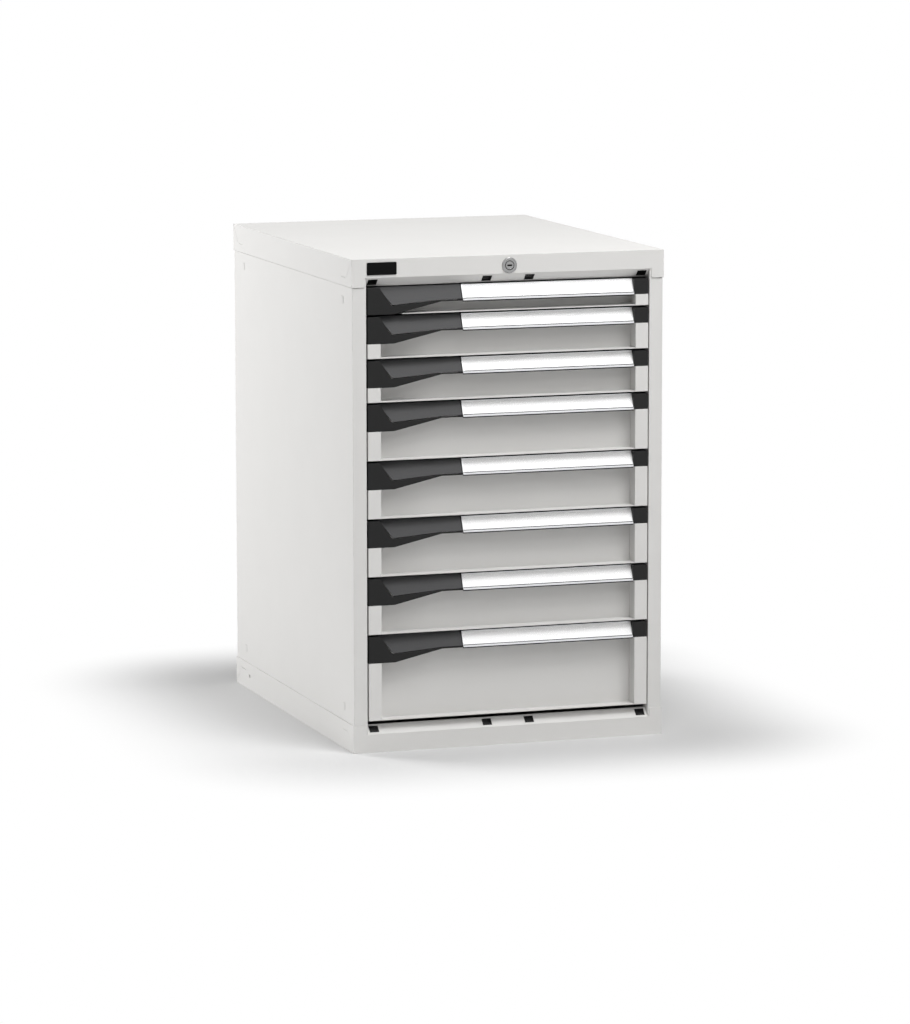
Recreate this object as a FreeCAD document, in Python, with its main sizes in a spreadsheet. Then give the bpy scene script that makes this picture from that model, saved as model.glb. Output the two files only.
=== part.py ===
import FreeCAD, Part

import os
import re

import Sketcher

# A workshop drawer cabinet of folded steel with eight full-extension drawers, a latch in each
# drawer's grip and one central lock. The origin is on the floor under the middle of the cabinet,
# X points right as seen from the front, Y to the back and Z up.

# Driving dimensions in millimetres and degrees
SIZES = {
    # Drawers, the top one first: the height of the opening that each one takes
    "drawer_1_height": 50,
    "drawer_2_height": 75,
    "drawer_3_height": 75,
    "drawer_4_height": 100,
    "drawer_5_height": 100,
    "drawer_6_height": 100,
    "drawer_7_height": 100,
    "drawer_8_height": 150,
    "drawer_gap": 4,
    "drawer_side_gap": 2.5,
    "drawer_inside_width": 459,
    "drawer_inside_depth": 612,
    "drawer_sheet": 1,
    "wall_drop": 12,
    "wall_hem": 1.5,
    "floor_lift": 3,
    "front_sheet": 1.2,
    "front_recess": 26,
    "front_setback": 0.5,
    "front_post_width": 23,
    "post_return": 22,
    "panel_drop": 2,
    # Cabinet shell
    "panel_sheet": 1.2,
    "cap_sheet": 1.5,
    "cap_skirt": 48,
    "cap_face": 32,
    "flange_run": 15,
    "flange_clearance": 0.3,
    "notch_width": 3,
    "tab_round": 3,
    "seam_gap": 0.8,
    "seam_depth": 0.8,
    "corner_seam_width": 0.7,
    "corner_slot_length": 25,
    "corner_slot_inset": 37,
    "corner_relief_radius": 1.4,
    "base_clearance": 6,
    "rear_space": 81.6,
    "fold_return": 21,
    "rear_fold": 30,
    "anchor_spacing_x": 440,
    "anchor_spacing_y": 600,
    "anchor_hole_radius": 4.5,
    "side_hole_radius": 3.5,
    "side_hole_inset": 87.5,
    "side_hole_height": 25.6,
    "side_plug_width": 12,
    "side_plug_height": 13,
    "side_plug_front_inset": 10.5,
    "side_plug_rear_inset": 3.9,
    "side_plug_level": 73,
    "side_plug_proud": 0.4,
    # Uprights and slides
    "upright_depth": 21.6,
    "upright_width": 60,
    "upright_sheet": 1.5,
    "upright_setback": 10,
    "slot_pitch": 25,
    "slot_width": 6,
    "slot_height": 12,
    "slot_inset": 48,
    "slot_lift": 8,
    "slide_space": 27.2,
    "rail_lift": 4,
    "rail_height": 28,
    "rail_sheet": 1.8,
    "rail_setback": 50,
    "rail_overhang": 12,
    "rail_stop": 8,
    "lug_width": 5,
    "lug_height": 10,
    "lug_reach": 3,
    "lug_hook": 4,
    "lug_play": 0.2,
    "drawer_rail_depth": 9,
    "plate_gap": 0.7,
    "carriage_sheet": 2,
    "carriage_height": 26,
    "carriage_setback": 54,
    "carriage_length": 592,
    "roller_play": 0.25,
    "roller_gap": 0.3,
    "roller_spread": 260,
    "roller_end": 20,
    "inner_roller_width": 7,
    "outer_roller_width": 10,
    "pin_radius": 3,
    "pin_play": 0.1,
    "pin_head_radius": 5,
    "pin_head": 0.8,
    # Handle, grip and latch
    "handle_height": 26.8,
    "end_cap_width": 26,
    "handle_lean": 11,
    "handle_wall": 2.4,
    "handle_lip": 3.2,
    "label_seat": 1,
    "handle_flange": 16,
    "end_wall": 2.5,
    "grip_width": 171,
    "grip_height": 47.5,
    "grip_knee_inset": 47,
    "grip_rise_inset": 132,
    "grip_round": 15,
    "grip_edge": 8,
    "grip_heel_inset": 32,
    "window_inset": 21,
    "window_corner_inset": 43,
    "window_depth": 32,
    "window_edge": 25.2,
    "window_round": 6,
    "facet_tilt": 25,
    "facet_turn": 2,
    "lever_play": 0.5,
    "lever_gap": 1.3,
    "lever_wall": 2.6,
    "lever_head": 8,
    "lever_head_back": 21,
    "lever_web": 2.2,
    "pivot_back": 16,
    "pivot_drop": 6.2,
    "pivot_radius": 2,
    "pivot_play": 0.1,
    "latch_arm": 4,
    "latch_arm_drop": 5.5,
    "latch_arm_height": 4.5,
    "latch_back": 46,
    "latch_tooth_drop": 13.6,
    "latch_tooth": 4,
    "latch_tip_play": 4.7,
    "keeper_play": 0.4,
    "keeper_gap": 0.6,
    "keeper_sheet": 3,
    "keeper_height": 10,
    "keeper_reach": 8.2,
    "spring_length": 5,
    "spring_play": 0.2,
    "spring_wire": 1,
    # Inserts in the flanges and the badge
    "insert_width": 16.4,
    "insert_height": 12.8,
    "insert_rim": 0.6,
    "insert_proud": 0.8,
    "insert_depth": 4,
    "insert_wall": 1.8,
    "insert_play": 0.1,
    "insert_inner": 38.5,
    "insert_outer_inset": 13,
    "badge_width": 52.8,
    "badge_height": 21.5,
    "badge_sheet": 1.2,
    "badge_round": 2,
    "badge_inset": 53,
    "badge_drop": 16.4,
    # Lock
    "lock_drop": 18,
    "lock_ring_radius": 13.5,
    "lock_ring_proud": 2,
    "lock_ring_bevel": 1,
    "lock_body_radius": 9.5,
    "lock_body_length": 25,
    "lock_nut_radius": 13,
    "lock_nut_length": 4,
    "lock_play": 0.1,
    "cylinder_radius": 6.5,
    "cylinder_length": 28,
    "key_slot_width": 8,
    "key_slot_height": 1.6,
    "key_slot_depth": 6,
    "shaft_radius": 4,
    "crank_radius": 7,
    "crank_sheet": 4,
    "crank_gap": 1,
    "crank_rim": 4.5,
    "crank_pin_radius": 2.5,
    "crank_pin_play": 0.4,
    "crank_pin_end": 2,
    "hanger_sheet": 3,
    "hanger_half_width": 12,
    "hanger_gap": 2,
    "hanger_foot": 20,
    "bar_gap": 27,
    "bar_sheet": 2.5,
    "bar_half_width": 11,
    "bar_head_half_width": 20,
    "bar_head_above": 7,
    "bar_head_below": 9,
    "bar_tail": 10,
    "catch_half_width": 8,
    "catch_drop": 16,
    "catch_sheet": 2,
    "catch_reach": 17,
    "catch_lip": 9,
    "finger_half_width": 6,
    "finger_gap": 2,
    "finger_play": 1.5,
    "finger_sheet": 2,
    "finger_lip": 11,
    "column_half_width": 24,
    "column_sheet": 1.2,
    "column_play": 0.3,
    "clip_sheet": 1.5,
    "clip_height": 14,
    "clip_lip": 5,
    "clip_play": 0.3,
}

DRAWERS = range(1, 9)
SIDES = {"left": -1, "right": 1}


def opening_below(number):
    """Height of the openings under one drawer."""
    return " + ".join(["stack_low"] + [f"drawer_{n}_height" for n in DRAWERS if n > number])


# Places worked out from the sizes: half widths from the middle, then depths, then heights
PLACES = {
    "half_inside": "drawer_inside_width / 2",
    "wall_face": "half_inside + drawer_sheet",
    "drawer_rail_tip": "wall_face + drawer_rail_depth",
    "plate_inner": "drawer_rail_tip + plate_gap",
    "plate_outer": "plate_inner + carriage_sheet",
    "rail_tip": "plate_outer + plate_gap",
    "upright_face": "wall_face + slide_space",
    "rail_web": "upright_face - rail_sheet",
    "half_opening": "upright_face - panel_sheet",
    "flange_half": "half_opening - flange_clearance",
    "half_front": "half_opening - drawer_side_gap",
    "half_panel": "half_front - front_post_width",
    "handle_left": "half_front - grip_width",
    "handle_right": "half_front - end_cap_width",
    "grip_knee": "half_front - grip_knee_inset",
    "grip_rise": "half_front - grip_rise_inset",
    "grip_heel": "half_front - grip_heel_inset",
    "window_left": "half_front - window_inset",
    "window_corner": "half_front - window_corner_inset",
    "insert_outer": "half_opening - insert_outer_inset",
    "panel_inner": "upright_face + upright_depth",
    "panel_outer": "panel_inner + panel_sheet",
    "half_width": "panel_outer + cap_sheet",
    "badge_middle": "half_width - badge_inset",
    "half_depth": "(front_setback + front_recess + front_sheet + drawer_inside_depth"
    " + drawer_sheet + rear_space + panel_sheet + cap_sheet) / 2",
    "panel_end": "half_depth - cap_sheet",
    "back_face": "panel_end - 2 * panel_sheet",
    "front_plane": "front_setback - half_depth",
    "recess_plane": "front_plane + front_recess",
    "inside_front": "recess_plane + front_sheet",
    "inside_rear": "inside_front + drawer_inside_depth",
    "wall_rear": "inside_rear + drawer_sheet",
    "front_upright": "front_plane + upright_setback",
    "rear_upright": "back_face - upright_width",
    "front_slot": "front_upright + slot_inset",
    "rear_slot": "back_face - slot_inset",
    "plug_front": "front_upright + upright_width - side_plug_front_inset",
    "plug_rear": "rear_upright + side_plug_rear_inset",
    "rail_front": "front_plane + rail_setback",
    "rail_rear": "rear_slot + rail_overhang",
    "carriage_front": "front_plane + carriage_setback",
    "carriage_rear": "carriage_front + carriage_length",
    "bar_front": "wall_rear + bar_gap",
    "bar_rear": "bar_front + bar_sheet",
    "crank_rear": "bar_front - crank_gap",
    "crank_front": "crank_rear - crank_sheet",
    "column_front": "bar_rear + column_play",
    "stack_low": "cap_face + flange_run + base_clearance",
    "stack_high": opening_below(0),
    "cabinet_top": "stack_high + flange_run + cap_face",
    "roof": "cabinet_top - cap_sheet",
    "skirt_level": "cabinet_top - cap_skirt",
    "seam_level": "skirt_level - seam_gap",
    "lock_level": "cabinet_top - lock_drop",
    "crank_drop": "crank_radius * sin(45)",
    "slot_middle": "lock_level - crank_drop",
    "slot_room": "crank_pin_radius + crank_pin_play",
    "diagonal": "sin(45)",
    "roller_radius": "rail_height / 2 - rail_sheet - roller_play",
    "rail_middle": "rail_lift + rail_height / 2",
    "window_slope": "(window_left - window_corner) / window_depth",
    "label_rise": "handle_lean / (handle_height - handle_lip)",
    "label_height": "handle_height - handle_lip - label_seat",
    "finger_top": "catch_drop + catch_lip + finger_play",
    "grip_drop": "min(grip_height; "
    + "; ".join(f"drawer_{n}_height - drawer_gap" for n in DRAWERS)
    + ")",
}
for number in DRAWERS:
    PLACES[f"drawer_{number}_low"] = f"{opening_below(number)} + drawer_gap / 2"
    PLACES[f"drawer_{number}_top"] = (
        f"{opening_below(number)} + drawer_{number}_height - drawer_gap / 2"
    )

doc = FreeCAD.newDocument("drawer_cabinet")
nodes = []


def formula(text, home=""):
    """Expression text with each named size or place given its sheet, unless that is home."""

    def full_name(match):
        name = match.group(0)
        for sheet, names in (("sizes", SIZES), ("places", PLACES)):
            if name in names and sheet != home:
                return f"{sheet}.{name}"
        return name

    return re.sub(r"[a-z][a-z0-9_]*", full_name, text)


def fill_sheet(title, cells):
    """Spreadsheet with one named cell a row."""
    sheet = doc.addObject("Spreadsheet::Sheet", title)
    for row, (name, content) in enumerate(cells.items(), start=1):
        sheet.set(f"A{row}", name)
        sheet.set(f"B{row}", content)
        sheet.setAlias(f"B{row}", name)
    doc.recompute()
    return sheet


sizes = fill_sheet("sizes", {name: str(size) for name, size in SIZES.items()})
places = fill_sheet(
    "places", {name: "=" + formula(text, "places") for name, text in PLACES.items()}
)


def value(text):
    """Number that an expression gives."""
    return float(places.evalExpression(formula(text, "places")))


def bind(thing, prop, text):
    """Ties a property to an expression of named sizes and places."""
    thing.setExpression(prop, formula(text))


def across(side, near, far):
    """Low and high X of what lies from near to far out from the middle, on one side."""
    return (near, far) if side > 0 else (f"-({far})", f"-({near})")


def centred(half):
    return (f"-({half})", half)


def behind(near, far):
    """Low and high Y of what lies from near to far behind the drawer fronts."""
    return (f"front_plane + {near}", f"front_plane + {far}")


def block(name, x, y, z):
    """Box between a low and a high plane each way."""
    box = doc.addObject("Part::Box", name)
    for prop, axis, (low, high) in zip(("Length", "Width", "Height"), "xyz", (x, y, z)):
        bind(box, prop, f"({high}) - ({low})")
        bind(box, f"Placement.Base.{axis}", low)
    return box


TURNS = {
    "x": FreeCAD.Rotation(FreeCAD.Vector(0, 1, 0), 90),
    "y": FreeCAD.Rotation(FreeCAD.Vector(1, 0, 0), -90),
    "z": FreeCAD.Rotation(),
}


def rod(name, axis, centre, radius, low, high):
    """Cylinder along an axis; centre gives its place on the other two."""
    cylinder = doc.addObject("Part::Cylinder", name)
    cylinder.Placement = FreeCAD.Placement(FreeCAD.Vector(), TURNS[axis])
    others = iter(centre)
    for letter in "xyz":
        place = low if letter == axis else next(others)
        bind(cylinder, f"Placement.Base.{letter}", place)
    bind(cylinder, "Radius", radius)
    bind(cylinder, "Height", f"({high}) - ({low})")
    return cylinder


def outline(body, plane, points):
    """Closed sketch of straight lines on one of a body's origin planes."""
    sketch = body.newObject("Sketcher::SketchObject", body.Name + "_outline")
    support = [f for f in body.Origin.OriginFeatures if f.Role == plane][0]
    sketch.AttachmentSupport = [(support, "")]
    sketch.MapMode = "FlatFace"
    corners = [FreeCAD.Vector(value(across_), value(up), 0) for across_, up in points]
    count = len(corners)
    for index in range(count):
        line = Part.LineSegment(corners[index], corners[(index + 1) % count])
        sketch.addGeometry(line, False)
    for index in range(count):
        sketch.addConstraint(Sketcher.Constraint("Coincident", index, 2, (index + 1) % count, 1))
    for index, point in enumerate(points):
        for kind, text, at in zip(("DistanceX", "DistanceY"), point, corners[index]):
            number = sketch.addConstraint(Sketcher.Constraint(kind, -1, 1, index, 1, at))
            bind(sketch, f"Constraints[{number}]", text)
    return sketch, corners


def corner_edges(shape, corners, flat_axes):
    """Names of the edges that run through the given corners of the outline."""
    found = []
    for number, edge in enumerate(shape.Edges, start=1):
        ends = [[getattr(vertex.Point, axis) for axis in flat_axes] for vertex in edge.Vertexes]
        for corner in corners:
            if all(abs(end[0] - corner.x) + abs(end[1] - corner.y) < 1e-4 for end in ends):
                found.append(f"Edge{number}")
    return found


PLANES = {"side": ("YZ_Plane", "yz"), "front": ("XZ_Plane", "xz")}


def prism(name, view, points, low, high, rounds=None):
    """Body with an outline seen in one view, padded between two planes. rounds gives a radius
    for corners of the outline, by their numbers."""
    plane, flat_axes = PLANES[view]
    body = doc.addObject("PartDesign::Body", name)
    sketch, corners = outline(body, plane, points)
    start = f"-({high})" if view == "front" else low
    bind(sketch, "AttachmentOffset.Base.z", start)
    pad = body.newObject("PartDesign::Pad", name + "_pad")
    pad.Profile = sketch
    bind(pad, "Length", f"({high}) - ({low})")
    for radius, numbers in (rounds or {}).items():
        doc.recompute()
        tip = body.Tip
        fillet = body.newObject("PartDesign::Fillet", name + "_round")
        edges = corner_edges(tip.Shape, [corners[number] for number in numbers], flat_axes)
        fillet.Base = (tip, edges)
        bind(fillet, "Radius", radius)
    return body


def turned(name, points, centre):
    """Body turned about an axis along Y; points are pairs of a radius and a place along it."""
    body = doc.addObject("PartDesign::Body", name)
    sketch, _ = outline(body, "XY_Plane", points)
    turn = body.newObject("PartDesign::Revolution", name + "_turn")
    turn.Profile = sketch
    turn.ReferenceAxis = (sketch, ["V_Axis"])
    turn.Angle = 360
    bind(body, "Placement.Base.x", centre[0])
    bind(body, "Placement.Base.z", centre[1])
    return body


def fuse(name, parts):
    """One solid of several."""
    joined = doc.addObject("Part::MultiFuse", name)
    joined.Shapes = parts
    joined.Refine = True
    return joined


def cut(name, base, tools):
    """A solid less one or more others."""
    left = doc.addObject("Part::Cut", name)
    left.Base = base
    left.Tool = tools[0] if len(tools) == 1 else fuse(name + "_tools", tools)
    left.Refine = True
    return left


def group(name, parts, level=None):
    """Separate solids kept together, lifted to a level."""
    gathered = doc.addObject("Part::Compound", name)
    gathered.Links = parts
    if level:
        bind(gathered, "Placement.Base.z", level)
    return gathered


def keep(thing, label):
    """Names a finished sub-part."""
    thing.Label = label
    nodes.append(thing)
    return thing


# Top cover and base tray. Both are the same folded cap, and the base tray is turned over.
# A depth in these functions is measured in from the cap's outer face.


def top_level(depth):
    return f"cabinet_top - ({depth})"


def base_level(depth):
    return f"({depth})"


def between(level, near, far):
    """Low and high Z of what lies between two depths."""
    ends = (level(near), level(far))
    return ends if level is base_level else ends[::-1]


def flange_section(level, along, out):
    """Outline of a piece seated across the inclined flange: its reach along the slope each way
    from the middle, and how far its front and back lie out from the face."""
    points = []
    ends = (f"-({along})", along)
    for reach, height in ((ends[0], out[0]), (ends[1], out[0]), (ends[1], out[1]), (ends[0], out[1])):
        y = f"-half_depth + flange_run / 2 + (({reach}) - ({height})) * diagonal"
        depth = f"cap_face + flange_run / 2 + (({reach}) + ({height})) * diagonal"
        points.append((y, level(depth)))
    return points


def insert_places():
    return [(side, place) for side in (-1, 1) for place in ("insert_inner", "insert_outer")]


def across_middle(side, place, half):
    """Low and high X of what lies about a place on one side."""
    return across(side, f"{place} - ({half})", f"{place} + ({half})")


def insert_holes(name, level):
    holes = []
    for number, (side, place) in enumerate(insert_places(), start=1):
        half = "insert_width / 2 - insert_rim + insert_play"
        reach = "insert_height / 2 - insert_rim + insert_play"
        section = flange_section(level, reach, ("-insert_depth", "insert_depth"))
        holes.append(
            prism(f"{name}_insert_hole_{number}", "side", section, *across_middle(side, place, half))
        )
    return holes


def corner_seams(name, level):
    """Mitred seam and short slot near each corner of a side skirt."""
    grooves = []
    for side in SIDES.values():
        x = across(side, "half_width - seam_depth", "half_width")
        for end in (-1, 1):
            mark = f"{name}_seam_{side + 1}{end + 1}"
            mitre = [
                (f"{end} * half_depth", level("0")),
                (f"{end} * half_depth", level("corner_seam_width")),
                (f"{end} * (half_depth - cap_face)", level("cap_face + corner_seam_width")),
                (f"{end} * (half_depth - cap_face)", level("cap_face")),
            ]
            grooves.append(prism(mark, "side", mitre, *x))
            slot_end = "half_depth - corner_slot_inset"
            y = across(end, f"{slot_end} - corner_slot_length", slot_end)
            z = between(level, "cap_face + corner_seam_width", "cap_face + 2 * corner_seam_width")
            grooves.append(block(mark + "_slot", x, y, z))
    return grooves


def corner_reliefs(name, level):
    """Small hole where the folds of two skirts and the plate meet."""
    reliefs = []
    for x in ("-half_width", "half_width"):
        for y in ("-half_depth", "half_depth"):
            relief = doc.addObject("Part::Sphere", f"{name}_relief_{len(reliefs) + 1}")
            bind(relief, "Radius", "corner_relief_radius")
            bind(relief, "Placement.Base.x", x)
            bind(relief, "Placement.Base.y", y)
            bind(relief, "Placement.Base.z", level("0"))
            reliefs.append(relief)
    return reliefs


def cap(name, level):
    front = ("-half_depth", "-half_depth + cap_sheet")
    full = centred("half_width")
    walls = [
        block(f"{name}_plate", full, centred("half_depth"), between(level, "0", "cap_sheet")),
        block(
            f"{name}_rear",
            full,
            ("half_depth - cap_sheet", "half_depth"),
            between(level, "0", "cap_skirt"),
        ),
        block(f"{name}_face", full, front, between(level, "0", "cap_face")),
    ]
    flange = [
        ("-half_depth", level("cap_face")),
        ("-half_depth + flange_run", level("cap_face + flange_run")),
        (
            "-half_depth + flange_run + cap_sheet * diagonal",
            level("cap_face + flange_run - cap_sheet * diagonal"),
        ),
        ("-half_depth + cap_sheet", level("cap_face - cap_sheet * tan(22.5)")),
    ]
    walls.append(prism(f"{name}_flange", "side", flange, *centred("flange_half")))
    for side_name, side in SIDES.items():
        skirt = across(side, "half_width - cap_sheet", "half_width")
        high = between(level, "0", "cap_skirt")
        walls.append(block(f"{name}_skirt_{side_name}", skirt, centred("half_depth"), high))
        inner = f"{side} * (half_opening + notch_width)"
        outer = f"{side} * half_width"
        tab = [
            (inner, level("cap_face")),
            (outer, level("cap_face")),
            (outer, level("cap_skirt")),
            (inner, level("cap_skirt")),
        ]
        walls.append(prism(f"{name}_tab_{side_name}", "front", tab, *front, {"tab_round": [3]}))
    return fuse(f"{name}_folded", walls)


def top_cover():
    lock_hole = rod(
        "lock_hole",
        "y",
        ("0", "lock_level"),
        "lock_body_radius + lock_play",
        "-half_depth",
        "-half_depth + cap_sheet",
    )
    tools = [lock_hole] + insert_holes("top", top_level) + corner_seams("top", top_level)
    tools += corner_reliefs("top", top_level)
    keep(cut("top_cover", cap("top", top_level), tools), "top_cover")


def base_tray():
    tools = insert_holes("base", base_level) + corner_seams("base", base_level)
    tools += corner_reliefs("base", base_level)
    for right in (-1, 1):
        tools.append(
            rod(
                f"side_hole_{right + 1}",
                "x",
                ("half_depth - side_hole_inset", "side_hole_height"),
                "side_hole_radius",
                *across(right, "half_width - cap_sheet", "half_width"),
            )
        )
        for back in (-1, 1):
            tools.append(
                rod(
                    f"anchor_hole_{right + 1}{back + 1}",
                    "z",
                    (f"{right} * anchor_spacing_x / 2", f"{back} * anchor_spacing_y / 2"),
                    "anchor_hole_radius",
                    "0",
                    "cap_sheet",
                )
            )
    keep(cut("base_tray", cap("base", base_level), tools), "base_tray")


def frame_inserts():
    """Black plastic inserts seated in the flanges, each with a shallow well in its face."""
    inserts = []
    for title, level in (("top", top_level), ("base", base_level)):
        for number, (side, place) in enumerate(insert_places(), start=1):
            name = f"{title}_insert_{number}"

            def piece(title, inset, out):
                section = flange_section(level, f"insert_height / 2 - {inset}", out)
                x = across_middle(side, place, f"insert_width / 2 - {inset}")
                return prism(f"{name}_{title}", "side", section, *x)

            head = piece("head", "0", ("0", "insert_proud"))
            shank = piece("shank", "insert_rim", ("-insert_depth", "insert_proud"))
            well = piece("well", "insert_wall", ("insert_proud - insert_wall", "insert_proud"))
            inserts.append(cut(name, fuse(name + "_blank", [head, shank]), [well]))
    keep(group("frame_inserts", inserts), "frame_inserts")


# Side panels, back panel and uprights


def side_panel(side_name, side):
    name = f"side_panel_{side_name}"
    high = ("cap_sheet", "roof")
    front = ("-panel_end", "-panel_end + panel_sheet")
    wall = across(side, "panel_inner", "panel_outer")
    skin = block(name + "_skin", wall, centred("panel_end"), high)
    fold = block(name + "_fold", across(side, "half_opening", "panel_outer"), front, high)
    edge = block(
        name + "_edge",
        across(side, "half_opening", "upright_face"),
        ("-panel_end", "-panel_end + fold_return"),
        high,
    )
    rear = block(
        name + "_rear",
        across(side, "panel_outer - rear_fold", "panel_outer"),
        ("panel_end - panel_sheet", "panel_end"),
        high,
    )
    seam = ("seam_level", "skirt_level")
    side_groove = block(
        name + "_groove",
        across(side, "panel_outer - seam_depth", "panel_outer"),
        centred("panel_end"),
        seam,
    )
    front_groove = block(
        name + "_front_groove",
        across(side, "half_opening + notch_width", "panel_outer"),
        ("-panel_end", "-panel_end + seam_depth"),
        seam,
    )
    folded = fuse(name + "_folded", [skin, fold, edge, rear])
    keep(cut(name, folded, [side_groove, front_groove]), name)


def side_plugs():
    """Painted covers over the joints between the side panels and the uprights."""
    plugs = []
    for side_name, side in SIDES.items():
        x = across(side, "panel_outer", "panel_outer + side_plug_proud")
        for end in ("front", "rear"):
            y = (f"plug_{end} - side_plug_width / 2", f"plug_{end} + side_plug_width / 2")
            for title, level in (("low", "side_plug_level"), ("high", "cabinet_top - side_plug_level")):
                z = (f"{level} - side_plug_height / 2", f"{level} + side_plug_height / 2")
                corners = [(y[0], z[0]), (y[1], z[0]), (y[1], z[1]), (y[0], z[1])]
                name = f"side_plug_{side_name}_{end}_{title}"
                plugs.append(prism(name, "side", corners, *x, {"side_plug_width / 5": range(4)}))
    keep(group("side_plugs", plugs), "side_plugs")


def back_panel():
    keep(
        block(
            "back_panel",
            centred("panel_inner"),
            ("back_face", "back_face + panel_sheet"),
            ("cap_sheet", "roof"),
        ),
        "back_panel",
    )


def slot_levels(number):
    """Low edges of the slots beside one drawer, the lowest one being the rail's."""
    count = max(1, int(value(f"drawer_{number}_height") / value("slot_pitch")))
    first = f"drawer_{number}_low + rail_lift + slot_lift"
    return [f"{first} + {index} * slot_pitch" for index in range(count)]


def upright(end, side_name, side):
    """Perforated channel behind a corner of the cabinet. The left front one has the keepers."""
    name = f"upright_{end}_{side_name}"
    front = f"{end}_upright"
    high = ("cap_sheet", "roof")
    web = block(
        name + "_web",
        across(side, "upright_face", "upright_face + upright_sheet"),
        (front, f"{front} + upright_width"),
        high,
    )
    walls = [web]
    for edge, y in (
        ("near", (front, f"{front} + upright_sheet")),
        ("far", (f"{front} + upright_width - upright_sheet", f"{front} + upright_width")),
    ):
        walls.append(block(f"{name}_{edge}", across(side, "upright_face", "panel_inner"), y, high))
    if (end, side_name) == ("front", "left"):
        walls += keepers(side)
    slots = []
    for number in DRAWERS:
        for index, low in enumerate(slot_levels(number)):
            slots.append(
                block(
                    f"{name}_slot_{number}_{index}",
                    across(side, "upright_face", "upright_face + upright_sheet"),
                    (f"{end}_slot - slot_width / 2", f"{end}_slot + slot_width / 2"),
                    (low, f"{low} + slot_height"),
                )
            )
    keep(cut(name, fuse(name + "_folded", walls), slots), name)


def keepers(side):
    """Tabs on the upright, one for each drawer's latch."""
    far = "latch_back - latch_tooth - keeper_gap"
    tabs = []
    for number in DRAWERS:
        top = f"drawer_{number}_top - latch_tooth_drop - keeper_play"
        tabs.append(
            block(
                f"keeper_{number}",
                across(side, "upright_face - keeper_reach", "upright_face"),
                behind(f"{far} - keeper_sheet", far),
                (f"{top} - keeper_height", top),
            )
        )
    return tabs


# Slides


def rail_channel(name, side, root, tip, y):
    """The two flanges that a row of rollers runs between, in a drawer's own levels."""
    x = across(side, root, tip)
    return [
        block(f"{name}_lower", x, y, ("rail_lift", "rail_lift + rail_sheet")),
        block(
            f"{name}_upper",
            x,
            y,
            ("rail_lift + rail_height - rail_sheet", "rail_lift + rail_height"),
        ),
    ]


def cabinet_rails(side_name, side):
    """Channels hooked into the uprights, one for each drawer."""
    name = f"cabinet_rail_{side_name}"
    long = ("rail_front", "rail_rear")
    parts = rail_channel(name, side, "rail_tip", "upright_face", long)
    parts.append(
        block(
            name + "_web",
            across(side, "rail_web", "upright_face"),
            long,
            ("rail_lift", "rail_lift + rail_height"),
        )
    )
    parts.append(
        block(
            name + "_stop",
            across(side, "rail_tip", "rail_web"),
            ("rail_front", "rail_front + rail_sheet"),
            ("rail_lift", "rail_lift + rail_stop"),
        )
    )
    slot = "rail_lift + slot_lift"
    back = "upright_face + upright_sheet"
    for end in ("front", "rear"):
        y = (f"{end}_slot - lug_width / 2", f"{end}_slot + lug_width / 2")
        reach = f"{back} + lug_reach"
        lug = across(side, "upright_face", reach)
        parts.append(block(f"{name}_lug_{end}", lug, y, (slot, f"{slot} + lug_height")))
        parts.append(
            block(
                f"{name}_hook_{end}",
                across(side, f"{back} + lug_play", reach),
                y,
                (f"{slot} - lug_hook", slot),
            )
        )
    rail = fuse(name, parts)
    rails = [group(f"{name}_{number}", [rail], f"drawer_{number}_low") for number in DRAWERS]
    keep(group(f"cabinet_rails_{side_name}", rails), f"cabinet_rails_{side_name}")


def roller(name, side, near, far, y):
    """Roller with a bore, on a pin along X."""
    centre = (y, "rail_middle")
    x = across(side, near, far)
    tread = rod(name + "_tread", "x", centre, "roller_radius", *x)
    bore = rod(name + "_bore", "x", centre, "pin_radius + pin_play", *x)
    return cut(name, tread, [bore])


def carriage_side(side_name, side):
    """Plate with two rollers outside, which run in the cabinet's rail, and two inside, which
    carry the drawer's rail."""
    name = f"carriage_{side_name}"
    plate = block(
        name + "_plate",
        across(side, "plate_inner", "plate_outer"),
        ("carriage_front", "carriage_rear"),
        ("rail_middle - carriage_height / 2", "rail_middle + carriage_height / 2"),
    )
    metal = [plate]
    rollers = []
    outer = "plate_outer + roller_gap"
    inner = "plate_inner - roller_gap"
    for index, y in enumerate(
        (
            "carriage_rear - roller_end",
            "carriage_rear - roller_end - roller_spread",
            "carriage_front + roller_end",
            "carriage_front + roller_end + roller_spread",
        )
    ):
        title = f"{name}_{index}"
        if index < 2:
            tread = (outer, f"{outer} + outer_roller_width")
            head = (f"{tread[1]} + roller_gap", f"{tread[1]} + roller_gap + pin_head")
            pin = ("plate_outer", head[1])
        else:
            tread = (f"{inner} - inner_roller_width", inner)
            head = (f"{tread[0]} - roller_gap - pin_head", f"{tread[0]} - roller_gap")
            pin = (head[0], "plate_inner")
        centre = (y, "rail_middle")
        metal.append(rod(title + "_pin", "x", centre, "pin_radius", *across(side, *pin)))
        metal.append(rod(title + "_head", "x", centre, "pin_head_radius", *across(side, *head)))
        rollers.append(roller(title, side, *tread, y))
    return [fuse(name, metal)] + rollers


def carriages():
    parts = []
    for side_name, side in SIDES.items():
        parts += carriage_side(side_name, side)
    for number in DRAWERS:
        label = f"drawer_{number}_carriage"
        keep(group(label, parts, f"drawer_{number}_low"), label)


# Drawers


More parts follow.
